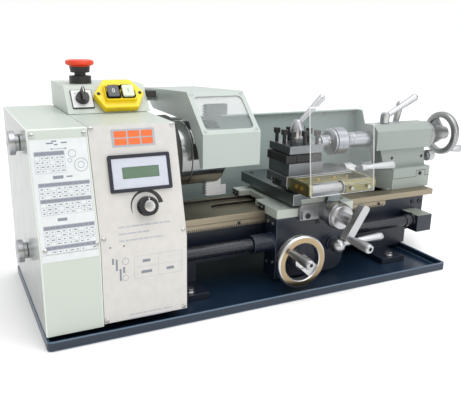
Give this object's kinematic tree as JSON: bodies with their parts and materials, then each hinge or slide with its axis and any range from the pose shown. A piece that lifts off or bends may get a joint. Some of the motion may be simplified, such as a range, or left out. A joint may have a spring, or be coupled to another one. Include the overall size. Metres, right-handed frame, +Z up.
{
  "type": "bench-top metal lathe",
  "caption": "Bench-top metal lathe: headstock with self-centring chuck, ways on a chip tray, carriage with compound slide and tool post, tailstock, guards and controls.",
  "frame": {"origin": "underside of the chip tray, below the spindle axis, near the middle of the bed", "axes": "+X from the headstock to the tailstock along the spindle, -Y towards the operator, +Z up"},
  "size_m": [0.8039, 0.3878, 0.332],
  "materials": {
    "grey_green_paint": "satin grey-green enamel",
    "navy_paint": "semi-gloss dark navy enamel",
    "silver_paint": "satin silver powder coat",
    "ground_steel": "ground and machined",
    "bright_steel": "turned and polished",
    "black_oxide": "black oxide, satin",
    "black_plastic": "moulded, satin",
    "cast_alloy": "cast and turned",
    "clear_plastic": "clear polycarbonate sheet",
    "yellow_plastic": "moulded",
    "red_plastic": "moulded",
    "off_plastic": "moulded",
    "on_plastic": "moulded",
    "belt_rubber": "matte"
  },
  "bodies": {
    "frame": {"chip_tray": "navy_paint", "bed": "navy_paint", "gear_rack": "ground_steel", "headstock_casting": "navy_paint", "headstock_front_cover": "silver_paint", "spindle_bearing_cover": "black_oxide", "electrical_box": "grey_green_paint", "switch_housing": "yellow_plastic", "splash_guard": "grey_green_paint", "motor": "black_oxide", "leadscrew_bracket": "navy_paint", "leadscrew_cover_left": "black_plastic", "leadscrew_cover_right": "black_plastic", "drive_belt": "belt_rubber"},
    "gear_cover": {"gear_cover": "grey_green_paint"},
    "cover_knob_upper": {"cover_knob_upper": "bright_steel"},
    "cover_knob_lower": {"cover_knob_lower": "bright_steel"},
    "spindle": {"spindle": "bright_steel", "spindle_gear": "ground_steel", "chuck_backplate": "ground_steel", "chuck_body": "bright_steel"},
    "jaw_1": {"chuck_jaw_1": "ground_steel"},
    "jaw_2": {"chuck_jaw_2": "ground_steel"},
    "jaw_3": {"chuck_jaw_3": "ground_steel"},
    "jaw_4": {"chuck_jaw_4": "ground_steel"},
    "motor_pulley": {"motor_pulley": "cast_alloy"},
    "idler_gear": {"idler_gear": "ground_steel"},
    "lead_screw": {"lead_screw": "ground_steel"},
    "chuck_guard": {"chuck_guard": "grey_green_paint", "chuck_guard_window": "clear_plastic"},
    "estop_button": {"estop_button": "red_plastic"},
    "direction_knob": {"direction_knob": "black_plastic"},
    "off_button": {"off_button": "off_plastic"},
    "on_button": {"on_button": "on_plastic"},
    "speed_knob": {"speed_knob": "black_plastic"},
    "carriage": {"saddle": "grey_green_paint", "apron": "navy_paint", "crossfeed_bracket": "cast_alloy"},
    "apron_handwheel": {"apron_handwheel": "cast_alloy"},
    "apron_handle": {"apron_handle": "bright_steel"},
    "half_nut_lever": {"half_nut_lever": "bright_steel"},
    "cross_slide": {"cross_slide": "ground_steel"},
    "crossfeed_crank": {"crossfeed_crank": "cast_alloy"},
    "crossfeed_handle": {"crossfeed_handle": "bright_steel"},
    "compound_base": {"compound_base": "ground_steel"},
    "compound_slide": {"compound_slide": "ground_steel", "tool_guard_bracket": "bright_steel"},
    "compound_crank": {"compound_crank": "cast_alloy"},
    "compound_handle": {"compound_handle": "bright_steel"},
    "toolpost": {"toolpost": "ground_steel"},
    "toolpost_handle": {"toolpost_handle": "bright_steel"},
    "tool_guard": {"tool_guard_screen": "clear_plastic"},
    "tailstock": {"tailstock_body": "grey_green_paint", "tailstock_base": "grey_green_paint"},
    "quill": {"quill": "bright_steel"},
    "live_centre": {"live_centre": "bright_steel"},
    "tail_handwheel": {"tail_handwheel": "cast_alloy"},
    "tail_handle": {"tail_handle": "bright_steel"},
    "quill_lock_lever": {"quill_lock_lever": "bright_steel"},
    "tailstock_clamp_lever": {"tailstock_clamp_lever": "bright_steel"}
  },
  "joints": [
    {"name": "gear_cover_slide", "type": "slide", "parent": "frame", "child": "gear_cover", "axis": [-1, 0, 0], "range_m": [0, 0.08]},
    {"name": "cover_knob_upper_turn", "type": "hinge", "parent": "gear_cover", "child": "cover_knob_upper", "pos_m": [-0.365, -0.032, 0.235], "axis": [-1, 0, 0], "continuous": true},
    {"name": "cover_knob_lower_turn", "type": "hinge", "parent": "gear_cover", "child": "cover_knob_lower", "pos_m": [-0.365, -0.025, 0.0885], "axis": [-1, 0, 0], "continuous": true},
    {"name": "spindle_spin", "type": "hinge", "parent": "frame", "child": "spindle", "pos_m": [-0.143, 0, 0.1994], "axis": [1, 0, 0], "continuous": true},
    {"name": "jaw_1_travel", "type": "slide", "parent": "spindle", "child": "jaw_1", "axis": [0, 0, 1], "range_m": [-0.025, 0]},
    {"name": "jaw_2_travel", "type": "slide", "parent": "spindle", "child": "jaw_2", "axis": [0, -1, 0], "range_m": [-0.025, 0]},
    {"name": "jaw_3_travel", "type": "slide", "parent": "spindle", "child": "jaw_3", "axis": [0, 0, -1], "range_m": [-0.025, 0]},
    {"name": "jaw_4_travel", "type": "slide", "parent": "spindle", "child": "jaw_4", "axis": [0, 1, 0], "range_m": [-0.025, 0]},
    {"name": "motor_pulley_spin", "type": "hinge", "parent": "frame", "child": "motor_pulley", "pos_m": [-0.307, 0.084, 0.068], "axis": [1, 0, 0], "continuous": true},
    {"name": "idler_gear_spin", "type": "hinge", "parent": "frame", "child": "idler_gear", "pos_m": [-0.337, -0.03187, 0.1382], "axis": [1, 0, 0], "continuous": true},
    {"name": "lead_screw_spin", "type": "hinge", "parent": "frame", "child": "lead_screw", "pos_m": [-0.337, -0.07, 0.065], "axis": [1, 0, 0], "continuous": true},
    {"name": "chuck_guard_hinge", "type": "hinge", "parent": "frame", "child": "chuck_guard", "pos_m": [-0.132, 0.116, 0.272], "axis": [-1, 0, 0], "range_deg": [0, 60]},
    {"name": "estop_press", "type": "slide", "parent": "frame", "child": "estop_button", "axis": [0, 0, -1], "range_m": [0, 0.004], "stiffness_N_per_m": 1500},
    {"name": "direction_knob_turn", "type": "hinge", "parent": "frame", "child": "direction_knob", "pos_m": [-0.2715, 0.0215, 0.27975], "axis": [0, -0.783, 0.6221], "range_deg": [-45, 45]},
    {"name": "off_button_press", "type": "slide", "parent": "frame", "child": "off_button", "axis": [0, 0.783, -0.6221], "range_m": [0, 0.003], "stiffness_N_per_m": 800},
    {"name": "on_button_press", "type": "slide", "parent": "frame", "child": "on_button", "axis": [0, 0.783, -0.6221], "range_m": [0, 0.003], "stiffness_N_per_m": 800},
    {"name": "speed_knob_turn", "type": "hinge", "parent": "frame", "child": "speed_knob", "pos_m": [-0.232, -0.12939, 0.16327], "axis": [0, -0.9607, 0.2776], "range_deg": [0, 270]},
    {"name": "carriage_travel", "type": "slide", "parent": "frame", "child": "carriage", "axis": [1, 0, 0], "range_m": [-0.022, 0.044]},
    {"name": "apron_handwheel_turn", "type": "hinge", "parent": "carriage", "child": "apron_handwheel", "pos_m": [0.005, -0.125, 0.05], "axis": [0, 1, 0], "range_deg": [-361, 721]},
    {"name": "apron_handle_spin", "type": "hinge", "parent": "apron_handwheel", "child": "apron_handle", "pos_m": [-0.0193, -0.1323, 0.0702], "axis": [0, 1, 0], "continuous": true},
    {"name": "half_nut_lever_throw", "type": "hinge", "parent": "carriage", "child": "half_nut_lever", "pos_m": [0.088, -0.092, 0.054], "axis": [0, 1, 0], "range_deg": [0, 20]},
    {"name": "cross_slide_travel", "type": "slide", "parent": "carriage", "child": "cross_slide", "axis": [0, -1, 0], "range_m": [-0.04, 0.018]},
    {"name": "crossfeed_crank_turn", "type": "hinge", "parent": "carriage", "child": "crossfeed_crank", "pos_m": [0.07, -0.15, 0.112], "axis": [0, -1, 0], "range_deg": [-7201, 3241]},
    {"name": "crossfeed_handle_spin", "type": "hinge", "parent": "crossfeed_crank", "child": "crossfeed_handle", "pos_m": [0.05728, -0.1698, 0.09165], "axis": [0, 1, 0], "continuous": true},
    {"name": "compound_swivel", "type": "hinge", "parent": "cross_slide", "child": "compound_base", "pos_m": [0.048, -0.055, 0.142], "axis": [0, 0, -1], "range_deg": [-20, 30]},
    {"name": "compound_travel", "type": "slide", "parent": "compound_base", "child": "compound_slide", "axis": [1, 0, 0], "range_m": [-0.0045, 0.03]},
    {"name": "compound_crank_turn", "type": "hinge", "parent": "compound_slide", "child": "compound_crank", "pos_m": [0.124, -0.055, 0.162], "axis": [1, 0, 0], "range_deg": [-1081, 7201]},
    {"name": "compound_handle_spin", "type": "hinge", "parent": "compound_crank", "child": "compound_handle", "pos_m": [0.1563, -0.07107, 0.16753], "axis": [1, 0, 0], "continuous": true},
    {"name": "toolpost_index", "type": "hinge", "parent": "compound_slide", "child": "toolpost", "pos_m": [0.033, -0.055, 0.169], "axis": [0, 0, 1], "continuous": true},
    {"name": "toolpost_handle_turn", "type": "hinge", "parent": "toolpost", "child": "toolpost_handle", "pos_m": [0.033, -0.055, 0.2203], "axis": [0, 0, 1], "range_deg": [0, 60]},
    {"name": "tool_guard_swing", "type": "hinge", "parent": "compound_slide", "child": "tool_guard", "pos_m": [0.004, -0.13, 0.159], "axis": [1, 0, 0], "range_deg": [0, 75]},
    {"name": "tailstock_travel", "type": "slide", "parent": "frame", "child": "tailstock", "axis": [-1, 0, 0], "range_m": [0, 0.06]},
    {"name": "quill_travel", "type": "slide", "parent": "tailstock", "child": "quill", "axis": [-1, 0, 0], "range_m": [0, 0.039]},
    {"name": "live_centre_spin", "type": "hinge", "parent": "quill", "child": "live_centre", "pos_m": [0.176, 0, 0.1994], "axis": [1, 0, 0], "continuous": true},
    {"name": "tail_handwheel_turn", "type": "hinge", "parent": "tailstock", "child": "tail_handwheel", "pos_m": [0.388, 0, 0.1994], "axis": [-1, 0, 0], "range_deg": [0, 9361]},
    {"name": "tail_handle_spin", "type": "hinge", "parent": "tail_handwheel", "child": "tail_handle", "pos_m": [0.3949, -0.022, 0.172], "axis": [1, 0, 0], "continuous": true},
    {"name": "quill_lock_turn", "type": "hinge", "parent": "tailstock", "child": "quill_lock_lever", "pos_m": [0.25, 0, 0.2243], "axis": [0, 0, 1], "range_deg": [0, 60]},
    {"name": "tailstock_clamp_turn", "type": "hinge", "parent": "tailstock", "child": "tailstock_clamp_lever", "pos_m": [0.3, 0.03, 0.168], "axis": [0, 1, 0], "range_deg": [-40, 0]}
  ],
  "couplings": [
    {"joint": "motor_pulley_spin", "follows": "spindle_spin", "ratio": 2},
    {"joint": "idler_gear_spin", "follows": "spindle_spin", "ratio": -0.53333},
    {"joint": "lead_screw_spin", "follows": "spindle_spin", "ratio": 0.64},
    {"joint": "jaw_2_travel", "follows": "jaw_1_travel", "ratio": 1},
    {"joint": "jaw_3_travel", "follows": "jaw_1_travel", "ratio": 1},
    {"joint": "jaw_4_travel", "follows": "jaw_1_travel", "ratio": 1},
    {"joint": "apron_handwheel_turn", "follows": "carriage_travel", "rad_per_m": 285.6},
    {"joint": "crossfeed_crank_turn", "follows": "cross_slide_travel", "rad_per_m": 3141.6},
    {"joint": "compound_crank_turn", "follows": "compound_travel", "rad_per_m": 4188.8},
    {"joint": "tail_handwheel_turn", "follows": "quill_travel", "rad_per_m": 4188.8}
  ]
}
